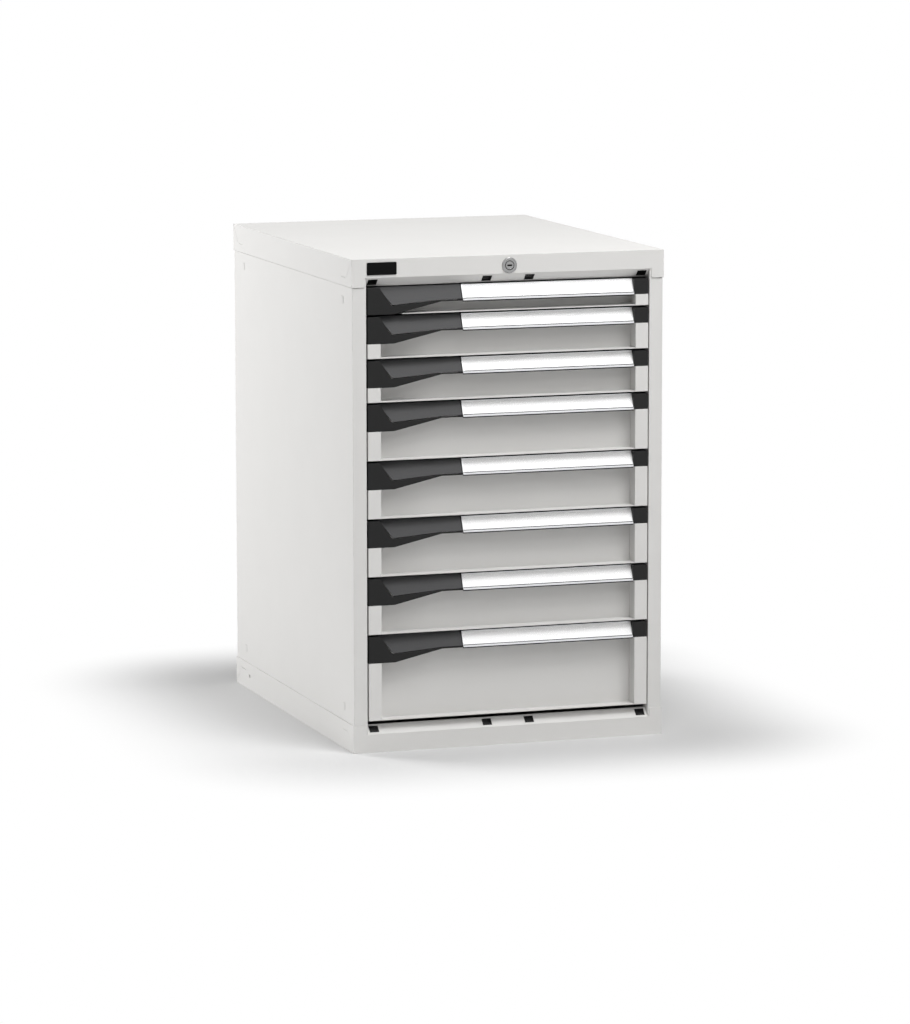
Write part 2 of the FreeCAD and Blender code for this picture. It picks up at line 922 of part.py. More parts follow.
def front_post(name, side, low, top):
    """Open channel with a closed foot at one side of a drawer's front."""
    sheets = [
        block(
            name + "_foot",
            across(side, "half_panel", "half_front"),
            behind("0", "post_return"),
            (low, f"{low} + front_sheet"),
        ),
        block(
            name + "_face",
            across(side, "half_panel", "half_front"),
            behind("0", "front_sheet"),
            (low, top),
        ),
        block(
            name + "_inner",
            across(side, "half_panel", "half_panel + front_sheet"),
            behind("0", "front_recess + front_sheet"),
            (low, top),
        ),
        block(
            name + "_outer",
            across(side, "half_front - front_sheet", "half_front"),
            behind("0", "post_return"),
            (low, top),
        ),
    ]
    return fuse(name, sheets)


def drawer_body(number):
    """Welded drawer. Each sheet is a solid of its own, which touches the ones it is welded to."""
    name = f"drawer_{number}"
    low = f"{name}_low"
    top = f"{name}_top"
    floor = f"{low} + floor_lift"
    wall = (floor, f"{top} - wall_drop")
    long = ("inside_front", "wall_rear")
    parts = [
        block(f"{name}_floor", centred("half_inside"), long, (floor, f"{floor} + drawer_sheet")),
        block(
            f"{name}_panel",
            centred("half_panel"),
            ("recess_plane", "inside_front"),
            (f"{low} + front_sheet", f"{top} - panel_drop"),
        ),
        block(
            f"{name}_rear",
            centred("half_inside"),
            ("inside_rear", "wall_rear"),
            (f"{floor} + drawer_sheet", wall[1]),
        ),
    ]
    post_tops = {"left": f"{top} - grip_drop", "right": f"{top} - handle_height"}
    shelf_ends = {"left": "half_panel", "right": "half_panel"}
    for side_name, side in SIDES.items():
        title = f"{name}_{side_name}"
        flat = block(f"{title}_flat", across(side, "half_inside", "wall_face"), long, wall)
        hem = block(
            f"{title}_hem",
            across(side, "wall_face", "wall_face + drawer_sheet"),
            long,
            (f"{top} - wall_drop - wall_hem", wall[1]),
        )
        parts.append(fuse(f"{title}_wall", [flat, hem]))
        post_top = post_tops[side_name]
        if value(f"{post_top} - {low}") < value("front_sheet"):
            shelf_ends[side_name] = "grip_knee - grip_round"
        else:
            parts.append(front_post(f"{title}_post", side, low, post_top))
        rail = rail_channel(f"{title}_rail", side, "wall_face", "drawer_rail_tip", long)
        parts.append(group(f"{title}_rail", rail, low))
    parts.append(
        block(
            f"{name}_shelf",
            (f"-({shelf_ends['left']})", shelf_ends["right"]),
            ("front_plane", "inside_front"),
            (low, f"{low} + front_sheet"),
        )
    )
    catch = centred("catch_half_width")
    catch_level = f"{top} - catch_drop"
    tongue = (catch_level, f"{catch_level} + catch_sheet")
    parts.append(block(f"{name}_catch", catch, ("wall_rear", "wall_rear + catch_reach"), tongue))
    parts.append(
        block(
            f"{name}_catch_lip",
            catch,
            ("wall_rear + catch_reach - catch_sheet", "wall_rear + catch_reach"),
            (f"{catch_level} - catch_lip", catch_level),
        )
    )
    keep(group(f"{name}_body", parts), f"{name}_body")


# Handle parts. They are made once, with the drawer's top at level 0, and repeated.


def handle_profile():
    """Aluminium extrusion: a leaning face for the label, a lip under it, and a web and flange
    that carry it on the front panel. Fingers reach in behind the face."""
    rear = "front_plane + front_recess"
    bottom = "-handle_height"
    seat = "handle_lip - handle_height"
    section = [
        ("front_plane + handle_lean", "0"),
        (rear, "0"),
        (rear, "-handle_flange"),
        (f"{rear} - handle_wall", "-handle_flange"),
        (f"{rear} - handle_wall", "-handle_wall"),
        ("front_plane + handle_lean + handle_wall", "-handle_wall"),
        ("front_plane + label_seat + handle_wall", seat),
        ("front_plane + label_seat + handle_wall", bottom),
        ("front_plane", bottom),
        ("front_plane", seat),
        ("front_plane + label_seat", seat),
        ("front_plane + label_seat + label_height * label_rise", "-label_seat"),
        ("front_plane + handle_lean", "-label_seat"),
    ]
    return prism("handle_profile", "side", section, "-handle_left", "handle_right")


def end_cap():
    blank = block(
        "end_cap_blank",
        ("handle_right", "half_front"),
        behind("0", "front_recess"),
        ("-handle_height", "0"),
    )
    hollow = block(
        "end_cap_hollow",
        ("handle_right + end_wall", "half_front - end_wall"),
        behind("end_wall", "front_recess"),
        ("end_wall - handle_height", "-end_wall"),
    )
    return cut("end_cap", blank, [hollow])


def window_outline(gap, play):
    """Opening in the grip, or the lever's own edge with a gap left and below and play right."""
    right = f"-handle_left - end_wall - {play}"
    return [
        (f"{gap} - window_left", "0"),
        (f"{gap} - window_corner", f"{gap} - window_depth"),
        ("-grip_rise", f"{gap} - window_edge"),
        (right, f"{gap} - window_edge"),
        (right, "0"),
    ]


def facet_space(name, section):
    """Prism along the lever whose section is drawn across the leaning facet. It stands at the
    window's lower corner and turns a little, so that the facet runs out at the front plane."""
    space = prism(name, "side", section, "-window_left", "window_left")
    turn = FreeCAD.Rotation(FreeCAD.Vector(0, 0, 1), 0)
    space.Placement = FreeCAD.Placement(FreeCAD.Vector(), turn)
    bind(space, "Placement.Rotation.Angle", "-facet_turn")
    bind(space, "Placement.Base.x", "-window_corner")
    bind(space, "Placement.Base.y", "front_plane")
    return space


def facet_line(level, back="0"):
    """Depth of the facet at a level, before its turn."""
    return f"(({level}) + window_depth) * tan(facet_tilt) + {back}"


def grip():
    """Left grip: a deep block at the side, a rim under the lever and a web over it."""
    outer = [
        ("-half_front", "0"),
        ("-half_front", "-grip_drop"),
        ("-grip_knee", "-grip_drop"),
        ("-grip_rise", "-handle_height"),
        ("-handle_left", "-handle_height"),
        ("-handle_left", "0"),
    ]
    whole = behind("0", "front_recess")
    blank = prism("grip_blank", "front", outer, *whole, {"grip_round": [2, 3]})
    opening = window_outline("0", "0")
    window = prism("grip_window", "front", opening, *whole, {"window_round": [1]})
    rim_back = block(
        "grip_rim_back",
        ("-grip_heel", "-(handle_left + end_wall)"),
        behind("grip_edge", "front_recess"),
        ("-grip_drop", "0"),
    )
    heel = "-grip_heel - end_wall"
    hollow_outline = [
        ("end_wall - half_front", "-end_wall"),
        ("end_wall * window_slope - window_left - end_wall", "-end_wall"),
        (heel, "(grip_heel - window_left) / window_slope"),
        (heel, "end_wall - grip_drop"),
        ("end_wall - half_front", "end_wall - grip_drop"),
    ]
    hollow = prism("grip_hollow", "front", hollow_outline, *behind("end_wall", "front_recess"))
    over = "0.1"
    step = facet_space(
        "grip_step",
        [
            (facet_line("-handle_height - end_wall", "end_wall"), "-handle_height - end_wall"),
            (facet_line(over, "end_wall"), over),
            ("-front_recess", over),
            ("-front_recess", "-handle_height - end_wall"),
        ],
    )
    right_end = block(
        "grip_right_end",
        ("-handle_left - end_wall", "-handle_left"),
        behind("0", "front_recess"),
        ("-window_edge", "0"),
    )
    right_step = doc.addObject("Part::Common", "grip_right_step")
    right_step.Base = step
    right_step.Tool = right_end
    bearings = rod(
        "grip_bearings",
        "x",
        ("front_plane + pivot_back", "-pivot_drop"),
        "pivot_radius + pivot_play",
        "-window_left - end_wall",
        "-handle_left - end_wall / 4",
    )
    shell = cut("grip_shell", blank, [window, rim_back, hollow, right_step])
    web = block(
        "grip_web",
        ("-window_left - end_wall", "-handle_left"),
        behind("lever_head_back + lever_play", "front_recess"),
        ("-lever_web", "0"),
    )
    return cut("grip", fuse("grip_webbed", [shell, web]), [bearings])


def lever():
    """Thumb lever with a leaning face, an axle and the arm that ends in the latch's tooth."""
    deep = "window_depth + lever_wall"
    blank = prism(
        "lever_blank",
        "front",
        window_outline("lever_gap", "lever_play"),
        *behind("0", "lever_head_back"),
        {"window_round": [1]},
    )
    front = facet_space(
        "lever_front",
        [
            (facet_line(f"-({deep})"), f"-({deep})"),
            (facet_line("lever_wall"), "lever_wall"),
            ("-front_recess", "lever_wall"),
            ("-front_recess", f"-({deep})"),
        ],
    )
    back = facet_space(
        "lever_back",
        [
            (facet_line(f"-({deep})", "lever_wall"), f"-({deep})"),
            (facet_line("-lever_head", "lever_wall"), "-lever_head"),
            ("2 * front_recess", "-lever_head"),
            ("2 * front_recess", f"-({deep})"),
        ],
    )
    plate = cut("lever_plate", blank, [front, back])
    pivot = ("front_plane + pivot_back", "-pivot_drop")
    arm_right = "window_left + end_wall + lever_play"
    arm_left = f"{arm_right} + latch_arm"
    arm_top = "-latch_arm_drop"
    arm_low = "-latch_arm_drop - latch_arm_height"
    tip = "upright_face - latch_tip_play"
    arm_x = (f"-({arm_left})", f"-({arm_right})")
    metal = [
        plate,
        rod(
            "lever_left_axle",
            "x",
            pivot,
            "pivot_radius",
            f"-({arm_left}) - spring_length - spring_play",
            "-grip_heel",
        ),
        rod(
            "lever_right_axle",
            "x",
            pivot,
            "pivot_radius",
            "-(handle_left + 2 * end_wall)",
            "-(handle_left + end_wall / 2)",
        ),
        block(
            "latch_boss",
            arm_x,
            behind("pivot_back - end_wall", "pivot_back + end_wall"),
            (arm_low, "-end_wall - lever_play"),
        ),
        block("latch_arm", arm_x, behind("pivot_back", "latch_back"), (arm_low, arm_top)),
        block(
            "latch_cross",
            (f"-({tip})", f"-({arm_right})"),
            behind("latch_back - latch_tooth", "latch_back"),
            (arm_low, arm_top),
        ),
        block(
            "latch_tooth",
            (f"-({tip})", f"-({tip}) + latch_tooth"),
            behind("latch_back - latch_tooth", "latch_back"),
            ("-latch_tooth_drop", arm_top),
        ),
    ]
    coil_x = (f"-({arm_left}) - spring_length", f"-({arm_left}) - spring_play")
    inside = "pivot_radius + spring_play"
    coil = cut(
        "latch_spring",
        rod("latch_spring_outer", "x", pivot, f"{inside} + spring_wire", *coil_x),
        [rod("latch_spring_inner", "x", pivot, inside, *coil_x)],
    )
    return [fuse("lever", metal), coil]


def handles():
    sets = {
        "handle": [handle_profile()],
        "handle_ends": [grip(), end_cap()],
        "latch": lever(),
    }
    for number in DRAWERS:
        for title, parts in sets.items():
            label = f"drawer_{number}_{title}"
            keep(group(label, parts, f"drawer_{number}_top"), label)


# Badge and lock


def badge_plate():
    x = ("-badge_middle - badge_width / 2", "-badge_middle + badge_width / 2")
    middle = "cabinet_top - badge_drop"
    z = (f"{middle} - badge_height / 2", f"{middle} + badge_height / 2")
    corners = [(x[0], z[0]), (x[1], z[0]), (x[1], z[1]), (x[0], z[1])]
    plate = prism(
        "badge_plate",
        "front",
        corners,
        "-half_depth - badge_sheet",
        "-half_depth",
        {"badge_round": range(4)},
    )
    keep(plate, "badge_plate")


def lock_barrel():
    """Turned housing with a ring outside the apron and a nut behind it."""
    bore = "cylinder_radius + lock_play"
    face = "-half_depth - lock_ring_proud"
    inside = "-half_depth + cap_sheet"
    end = f"{inside} + lock_body_length"
    section = [
        (bore, face),
        ("lock_ring_radius - lock_ring_bevel", face),
        ("lock_ring_radius", f"{face} + lock_ring_bevel"),
        ("lock_ring_radius", "-half_depth"),
        ("lock_body_radius", "-half_depth"),
        ("lock_body_radius", inside),
        ("lock_nut_radius", inside),
        ("lock_nut_radius", f"{inside} + lock_nut_length"),
        ("lock_body_radius", f"{inside} + lock_nut_length"),
        ("lock_body_radius", end),
        (bore, end),
    ]
    keep(turned("lock_barrel", section, ("0", "lock_level")), "lock_barrel")


def lock_cylinder():
    face = "-half_depth - lock_ring_proud"
    centre = ("0", "lock_level")
    plug = rod("lock_plug", "y", centre, "cylinder_radius", face, f"{face} + cylinder_length")
    key_slot = block(
        "key_slot",
        centred("key_slot_width / 2"),
        (face, f"{face} + key_slot_depth"),
        ("lock_level - key_slot_height / 2", "lock_level + key_slot_height / 2"),
    )
    keep(cut("lock_cylinder", plug, [key_slot]), "lock_cylinder")


def lock_shaft():
    """Rod from the cylinder to the rear, with a disc and the pin that lifts the lock bar."""
    centre = ("0", "lock_level")
    front = "-half_depth - lock_ring_proud + cylinder_length"
    shaft = rod("shaft_rod", "y", centre, "shaft_radius", front, "crank_rear")
    disc = rod("crank_disc", "y", centre, "crank_radius + crank_rim", "crank_front", "crank_rear")
    pin = rod(
        "crank_pin",
        "y",
        ("-crank_drop", "slot_middle"),
        "crank_pin_radius",
        "crank_front",
        "bar_rear + crank_pin_end",
    )
    keep(fuse("lock_shaft", [shaft, disc, pin]), "lock_shaft")


def finger_levels(number):
    """Low and high Z of the hook on the lock bar that meets one drawer's catch."""
    high = f"drawer_{number}_top - finger_top"
    return f"{high} - finger_lip", high


def lock_bar():
    """Flat bar with a slotted head and a hook for each drawer. It lifts to lock."""
    y = ("bar_front", "bar_rear")
    low = finger_levels(8)[0]
    parts = [
        block("bar_flat", centred("bar_half_width"), y, (f"{low} - bar_tail", "slot_middle")),
        block(
            "bar_head",
            centred("bar_head_half_width"),
            y,
            ("slot_middle - bar_head_below", "slot_middle + bar_head_above"),
        ),
    ]
    lip_rear = "wall_rear + catch_reach - catch_sheet - finger_gap"
    for number in DRAWERS:
        low, high = finger_levels(number)
        x = centred("finger_half_width")
        arm = (f"{lip_rear} - finger_sheet", "bar_front")
        lip = (f"{lip_rear} - finger_sheet", lip_rear)
        parts.append(block(f"finger_{number}_arm", x, arm, (low, f"{low} + finger_sheet")))
        parts.append(block(f"finger_{number}_lip", x, lip, (low, high)))
    slot = block(
        "bar_slot",
        ("-crank_radius - slot_room", "slot_room - crank_drop"),
        y,
        ("slot_middle - slot_room", "slot_middle + slot_room"),
    )
    keep(cut("lock_bar", fuse("bar_welded", parts), [slot]), "lock_bar")


def lock_column():
    """Channel on the back panel that the lock bar slides on, reaching the top cover."""
    z = ("cap_sheet", "roof")
    reach = ("column_front", "back_face")
    parts = [
        block(
            "column_web",
            centred("column_half_width"),
            ("column_front", "column_front + column_sheet"),
            (z[0], "slot_middle - bar_head_below - clip_height"),
        )
    ]
    for side_name, side in SIDES.items():
        x = across(side, "column_half_width - column_sheet", "column_half_width")
        parts.append(block(f"column_{side_name}", x, reach, z))
    keep(fuse("lock_column", parts), "lock_column")


def guide_clip(name, level):
    """Bent clip that holds the lock bar against its column."""
    z = (level, f"{level} + clip_height")
    front = "bar_front - clip_play - clip_sheet"
    inner = "bar_half_width + clip_play"
    outer = f"{inner} + clip_sheet"
    clips = []
    for side_name, side in SIDES.items():
        title = f"{name}_{side_name}"
        wall = block(title + "_wall", across(side, inner, outer), (front, "column_front"), z)
        lip_x = across(side, "bar_half_width - clip_lip", outer)
        lip = block(title + "_lip", lip_x, (front, f"{front} + clip_sheet"), z)
        clips.append(fuse(title, [wall, lip]))
    return clips


def shaft_hanger():
    """Bracket under the top cover with the shaft's bearing hole."""
    rear = "crank_front - hanger_gap"
    front = f"{rear} - hanger_sheet"
    plate = block(
        "hanger_plate",
        centred("hanger_half_width"),
        (front, rear),
        ("lock_level - hanger_half_width", "roof"),
    )
    foot = block(
        "hanger_foot",
        centred("hanger_half_width"),
        (f"{rear} - hanger_foot", rear),
        ("roof - hanger_sheet", "roof"),
    )
    hole = rod("hanger_hole", "y", ("0", "lock_level"), "shaft_radius + lock_play", front, rear)
    return cut("shaft_hanger", fuse("hanger_bent", [plate, foot]), [hole])


def lock_guides():
    parts = [shaft_hanger()]
    clips = {
        "low": "stack_low",
        "middle": "drawer_5_low - clip_height",
        "high": "drawer_2_low - clip_height",
    }
    for title, level in clips.items():
        parts += guide_clip(f"clip_{title}", level)
    keep(group("lock_guides", parts), "lock_guides")


def build():
    top_cover()
    base_tray()
    frame_inserts()
    for side_name, side in SIDES.items():
        side_panel(side_name, side)
        for end in ("front", "rear"):
            upright(end, side_name, side)
        cabinet_rails(side_name, side)
    side_plugs()
    back_panel()
    badge_plate()
    lock_barrel()
    lock_cylinder()
    lock_shaft()
    lock_bar()
    lock_column()
    lock_guides()
    carriages()
    handles()
    for number in DRAWERS:
        drawer_body(number)
    doc.recompute()


def check():
    """Stops the script if an object failed or a sub-part has no valid solid."""
    for thing in doc.Objects:
        if "Invalid" in thing.State or "Error" in thing.State:
            raise RuntimeError(f"{thing.Name} failed: {thing.State}")
    for thing in nodes:
        if thing.Shape.isNull() or not thing.Shape.isValid() or not thing.Shape.Solids:
            raise RuntimeError(f"{thing.Label} has no valid solid")


def write():
    os.makedirs("parts", exist_ok=True)
    for thing in nodes:
        thing.Shape.exportStep(os.path.join("parts", thing.Label + ".step"))
        box = thing.Shape.BoundBox
        print(
            f"{thing.Label}: {len(thing.Shape.Solids)} solids, {thing.Shape.Volume:.0f} mm3,"
            f" {box.XLength:.1f} x {box.YLength:.1f} x {box.ZLength:.1f} mm"
        )


build()
check()
write()
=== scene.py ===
import math

import bmesh
import bpy
from mathutils import Matrix, Vector


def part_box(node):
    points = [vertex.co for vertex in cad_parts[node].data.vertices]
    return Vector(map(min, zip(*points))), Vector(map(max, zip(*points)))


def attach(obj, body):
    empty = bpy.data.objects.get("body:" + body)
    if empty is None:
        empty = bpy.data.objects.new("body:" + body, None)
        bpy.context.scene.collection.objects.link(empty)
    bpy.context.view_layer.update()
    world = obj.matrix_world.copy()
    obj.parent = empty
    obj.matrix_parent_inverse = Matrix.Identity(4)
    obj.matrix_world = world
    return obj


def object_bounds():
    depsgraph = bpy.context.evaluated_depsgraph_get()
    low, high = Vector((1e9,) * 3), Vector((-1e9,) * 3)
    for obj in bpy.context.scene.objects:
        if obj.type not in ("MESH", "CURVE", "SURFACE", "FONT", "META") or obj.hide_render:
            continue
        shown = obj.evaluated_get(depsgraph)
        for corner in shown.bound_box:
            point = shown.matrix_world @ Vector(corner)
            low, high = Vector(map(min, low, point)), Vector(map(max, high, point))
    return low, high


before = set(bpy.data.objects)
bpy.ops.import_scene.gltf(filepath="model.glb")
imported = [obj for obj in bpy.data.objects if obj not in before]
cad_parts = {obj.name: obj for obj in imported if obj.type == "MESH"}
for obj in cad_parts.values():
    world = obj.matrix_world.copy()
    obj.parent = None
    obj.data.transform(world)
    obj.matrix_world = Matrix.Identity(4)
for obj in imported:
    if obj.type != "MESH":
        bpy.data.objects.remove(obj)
cad_box = [list(corner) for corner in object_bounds()]

MM = 0.001
DRAWERS = range(1, 9)


# Helpers for node trees


def add(tree, kind, inputs=None, **settings):
    """Node with its settings; an input takes a value, or the output of another node."""
    node = tree.nodes.new(kind)
    for name, setting in settings.items():
        setattr(node, name, setting)
    for key, given in (inputs or {}).items():
        if isinstance(given, bpy.types.NodeSocket):
            tree.links.new(given, node.inputs[key])
        else:
            node.inputs[key].default_value = given
    return node


def maths(tree, operation, *values):
    """Number that an operation makes of others."""
    return add(tree, "ShaderNodeMath", dict(enumerate(values)), operation=operation).outputs[0]


def vector_maths(tree, operation, *values):
    """Outputs of an operation on vectors: Vector, and Value for a length."""
    return add(tree, "ShaderNodeVectorMath", dict(enumerate(values)), operation=operation).outputs


def spread(tree, pattern, low, high):
    """Pattern from 0 to 1 brought between two numbers."""
    return add(
        tree, "ShaderNodeMapRange", {"Value": pattern, "To Min": low, "To Max": high}
    ).outputs["Result"]


def linear(hex_text):
    """Linear colour of an sRGB hex value."""
    channels = [int(hex_text[place : place + 2], 16) / 255 for place in (1, 3, 5)]
    return [c / 12.92 if c <= 0.04045 else ((c + 0.055) / 1.055) ** 2.4 for c in channels] + [1]


def mix_colours(tree, share, first, second):
    """Colour between two. The mixing node takes colours at inputs 6 and 7, and gives output 2."""
    inputs = {"Factor": share, 6: first, 7: second}
    return add(tree, "ShaderNodeMix", inputs, data_type="RGBA").outputs[2]


def blend_colours(tree, pattern, first, second):
    """Colour between two hex values by a pattern."""
    return mix_colours(tree, pattern, linear(first), linear(second))


def object_place(tree):
    """Place on the object, in metres."""
    return add(tree, "ShaderNodeTexCoord").outputs["Object"]


def drawn_out(tree, where, factor):
    """Place for a pattern drawn out along X: the smaller the factor, the longer."""
    inputs = {"Vector": where, "Scale": (factor, 1, 1)}
    return add(tree, "ShaderNodeMapping", inputs).outputs["Vector"]


def per_metre(millimetres):
    """Scale of a pattern whose features are so far apart."""
    return 1 / (millimetres * MM)


def noise(tree, vector, size, detail=2.0):
    """Noise whose features are so many millimetres across."""
    return add(
        tree,
        "ShaderNodeTexNoise",
        {"Vector": vector, "Scale": per_metre(size), "Detail": detail},
    ).outputs["Fac"]


def new_material(name):
    """Material with an empty node tree."""
    material = bpy.data.materials.new(name)
    material.use_nodes = True
    material.node_tree.nodes.clear()
    return material, material.node_tree


def finish_surface(tree, colour, roughness, height, depth, edge, **others):
    """Principled surface over a bump, with folded or moulded edges rounded in its normal.
    The other names are the shader's own sockets."""
    rounded = add(tree, "ShaderNodeBevel", {"Radius": edge}, samples=4)
    bump = add(
        tree,
        "ShaderNodeBump",
        {"Height": height, "Distance": depth, "Strength": 1, "Normal": rounded.outputs["Normal"]},
    )
    sockets = {key.replace("_", " "): given for key, given in others.items()}
    shader = add(
        tree,
        "ShaderNodeBsdfPrincipled",
        {"Base Color": colour, "Roughness": roughness, "Normal": bump.outputs["Normal"], **sockets},
    )
    add(tree, "ShaderNodeOutputMaterial", {"Surface": shader.outputs["BSDF"]})


# Materials


def powder_coat(name, first, second):
    """Polyester powder coat, sprayed and baked on sheet steel: an even warm light grey with a
    soft shine. Its orange peel is really about 1 mm wide, drawn 3 mm wide so that it shows."""
    material, tree = new_material(name)
    where = object_place(tree)
    drift = noise(tree, where, size=90)
    peel = noise(tree, where, size=3, detail=1.0)
    finish_surface(
        tree,
        colour=blend_colours(tree, drift, first, second),
        roughness=spread(tree, peel, 0.48, 0.6),
        height=peel,
        depth=0.02 * MM,
        edge=0.9 * MM,
        Specular_IOR_Level=0.25,
    )
    return material


def moulded(name, first, second, roughness=0.46, shine=0.2):
    """Moulded plastic with a spark eroded grain, and the black of painted shade: dull and dark,
    with little shine.
    The grain is drawn 1.2 mm wide, about three times its size."""
    material, tree = new_material(name)
    where = object_place(tree)
    grain = noise(tree, where, size=1.2, detail=3.0)
    finish_surface(
        tree,
        colour=blend_colours(tree, grain, first, second),
        roughness=spread(tree, grain, roughness - 0.06, roughness + 0.06),
        height=grain,
        depth=0.04 * MM,
        edge=0.7 * MM,
        Specular_IOR_Level=shine,
    )
    return material


def anodised_aluminium():
    """Extruded aluminium, anodised satin: pale metal with die lines along its length."""
    material, tree = new_material("anodised_aluminium")
    where = object_place(tree)
    lines = noise(tree, drawn_out(tree, where, 0.01), size=0.9, detail=3.0)
    finish_surface(
        tree,
        colour=blend_colours(tree, lines, "#d2d3d5", "#e4e5e6"),
        roughness=spread(tree, lines, 0.3, 0.42),
        height=lines,
        depth=0.015 * MM,
        edge=0.4 * MM,
        Metallic=1.0,
    )
    return material


def zinc_plate():
    """Bright zinc plate on pressed steel: bluish grey metal, slightly cloudy."""
    material, tree = new_material("zinc_plate")
    where = object_place(tree)
    cloud = noise(tree, where, size=18, detail=4.0)
    grain = noise(tree, where, size=1.5)
    finish_surface(
        tree,
        colour=blend_colours(tree, cloud, "#b4b8bb", "#cdd0d2"),
        roughness=spread(tree, cloud, 0.28, 0.4),
        height=grain,
        depth=0.01 * MM,
        edge=0.5 * MM,
        Metallic=1.0,
    )
    return material


# Distances from the cabinet's middle plane: the carriages' plate, and the space that their
# rollers fill between the heads of the pins
PLATE_MIDDLE, PLATE_REACH = 241.2 * MM, 1.15 * MM
HEADS_MIDDLE, HEADS_REACH = 242.7 * MM, 9.95 * MM


def carriage_metal_and_acetal():
    """Zinc plated steel with rollers of natural white acetal on both sides of the plate,
    between it and the heads of their pins. How far a point is from the cabinet's middle tells
    them apart."""
    material, tree = new_material("zinc_plate_and_acetal_rollers")
    where = object_place(tree)
    split = add(tree, "ShaderNodeSeparateXYZ", {"Vector": where})
    out = maths(tree, "ABSOLUTE", split.outputs["X"])
    on_plate = maths(tree, "COMPARE", out, PLATE_MIDDLE, PLATE_REACH)
    within_heads = maths(tree, "COMPARE", out, HEADS_MIDDLE, HEADS_REACH)
    besides = maths(tree, "SUBTRACT", 1.0, within_heads)
    metal = maths(tree, "MAXIMUM", on_plate, besides)
    cloud = noise(tree, where, size=18, detail=4.0)
    steel = blend_colours(tree, cloud, "#b4b8bb", "#cdd0d2")
    acetal = blend_colours(tree, cloud, "#e6e4dc", "#eeece5")
    finish_surface(
        tree,
        colour=mix_colours(tree, metal, acetal, steel),
        roughness=spread(tree, cloud, 0.3, 0.4),
        height=cloud,
        depth=0.01 * MM,
        edge=0.5 * MM,
        Metallic=metal,
    )
    return material


# Level of the lock's axis, and how far apart the rings are that turning leaves on its face
LOCK_LEVEL = 832 * MM
TURNING_STEP = 0.9


def turned_nickel():
    """Nickel plated zinc casting, turned: bright rings around the lock's middle."""
    material, tree = new_material("nickel_plate")
    where = object_place(tree)
    middle = add(tree, "ShaderNodeMapping", {"Vector": where, "Location": (0, 0, -LOCK_LEVEL)})
    flat = vector_maths(tree, "MULTIPLY", middle.outputs["Vector"], (1, 0, 1))["Vector"]
    radius = vector_maths(tree, "LENGTH", flat)["Value"]
    angle = maths(tree, "MULTIPLY", radius, 2 * math.pi * per_metre(TURNING_STEP))
    rings = spread(tree, maths(tree, "SINE", angle), 0.35, 0.65)
    finish_surface(
        tree,
        colour=blend_colours(tree, rings, "#7c7c7c", "#b6b6b6"),
        roughness=spread(tree, rings, 0.18, 0.3),
        height=rings,
        depth=0.03 * MM,
        edge=0.3 * MM,
        Metallic=1.0,
    )
    return material


def label_paper():
    """Uncoated label paper: bright white, quite matt, with faint fibres."""
    material, tree = new_material("label_paper")
    where = object_place(tree)
    fibres = noise(tree, where, size=1.4, detail=4.0)
    finish_surface(
        tree,
        colour=blend_colours(tree, fibres, "#f8f8f8", "#ffffff"),
        roughness=spread(tree, fibres, 0.55, 0.7),
        height=fibres,
        depth=0.003 * MM,
        edge=0.1 * MM,
    )
    return material


def clear_styrene():
    """Extruded clear styrene: nearly nothing to see but a soft shine along its edges."""
    material, tree = new_material("clear_styrene")
    where = object_place(tree)
    lines = noise(tree, drawn_out(tree, where, 0.02), size=4, detail=1.0)
    finish_surface(
        tree,
        colour=blend_colours(tree, lines, "#fafbfb", "#ffffff"),
        roughness=spread(tree, lines, 0.08, 0.16),
        height=lines,
        depth=0.01 * MM,
        edge=0.2 * MM,
        Alpha=0.05,
        IOR=1.57,
    )
    material.surface_render_method = "BLENDED"
    return material


PAINT = powder_coat("light_grey_powder_coat", "#d3d2d0", "#d6d5d3")
BLACK = moulded("black_abs", "#161616", "#1f1f1f")
LEVER = moulded("dark_grey_abs", "#363637", "#414142", roughness=0.42)
NYLON = moulded("black_nylon", "#0a0a0a", "#111111", roughness=0.42, shine=0.15)
BADGE = moulded("black_acrylic", "#060606", "#0a0a0a", roughness=0.3, shine=0.08)
# Black of the painted shade: strips and rings that stand for shade in gaps, under the handles' lips
# and in the lock
SHADE_BLACK = moulded("painted_shade_black", "#040404", "#080808", roughness=0.8, shine=0.05)
ALUMINIUM = anodised_aluminium()
ZINC = zinc_plate()
CARRIAGE = carriage_metal_and_acetal()
NICKEL = turned_nickel()
PAPER = label_paper()
CLEAR = clear_styrene()

# Finish of each CAD node, those of the drawers by the end of their names. The nodes that
# aren't here are zinc plated.
NODE_MATERIALS = {
    "_body": PAINT,
    "_handle": ALUMINIUM,
    "_handle_ends": BLACK,
    "_latch": LEVER,
    "_carriage": CARRIAGE,
    "top_cover": PAINT,
    "base_tray": PAINT,
    "side_panel_left": PAINT,
    "side_panel_right": PAINT,
    "back_panel": PAINT,
    "side_plugs": PAINT,
    "frame_inserts": NYLON,
    "badge_plate": BADGE,
    "lock_barrel": NICKEL,
    "lock_cylinder": NICKEL,
}

for name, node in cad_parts.items():
    ending = name[len("drawer_1") :] if name.startswith("drawer_") else name
    node.data.materials.clear()
    node.data.materials.append(NODE_MATERIALS.get(ending, ZINC))


# Thin pieces that only the scene has


def new_object(name, data):
    """Object in the scene, at the origin."""
    made = bpy.data.objects.new(name, data)
    bpy.context.scene.collection.objects.link(made)
    return made


def mesh_from(name, bm, material):
    """Mesh of one material from points and faces that are finished."""
    mesh = bpy.data.meshes.new(name)
    bm.to_mesh(mesh)
    bm.free()
    mesh.materials.append(material)
    return mesh


def piece_from(name, bm, material, body):
    """Finished piece of a mesh whose points are already in their place."""
    bmesh.ops.recalc_face_normals(bm, faces=bm.faces)
    piece = new_object(name, mesh_from(name, bm, material))
    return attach(piece, body)


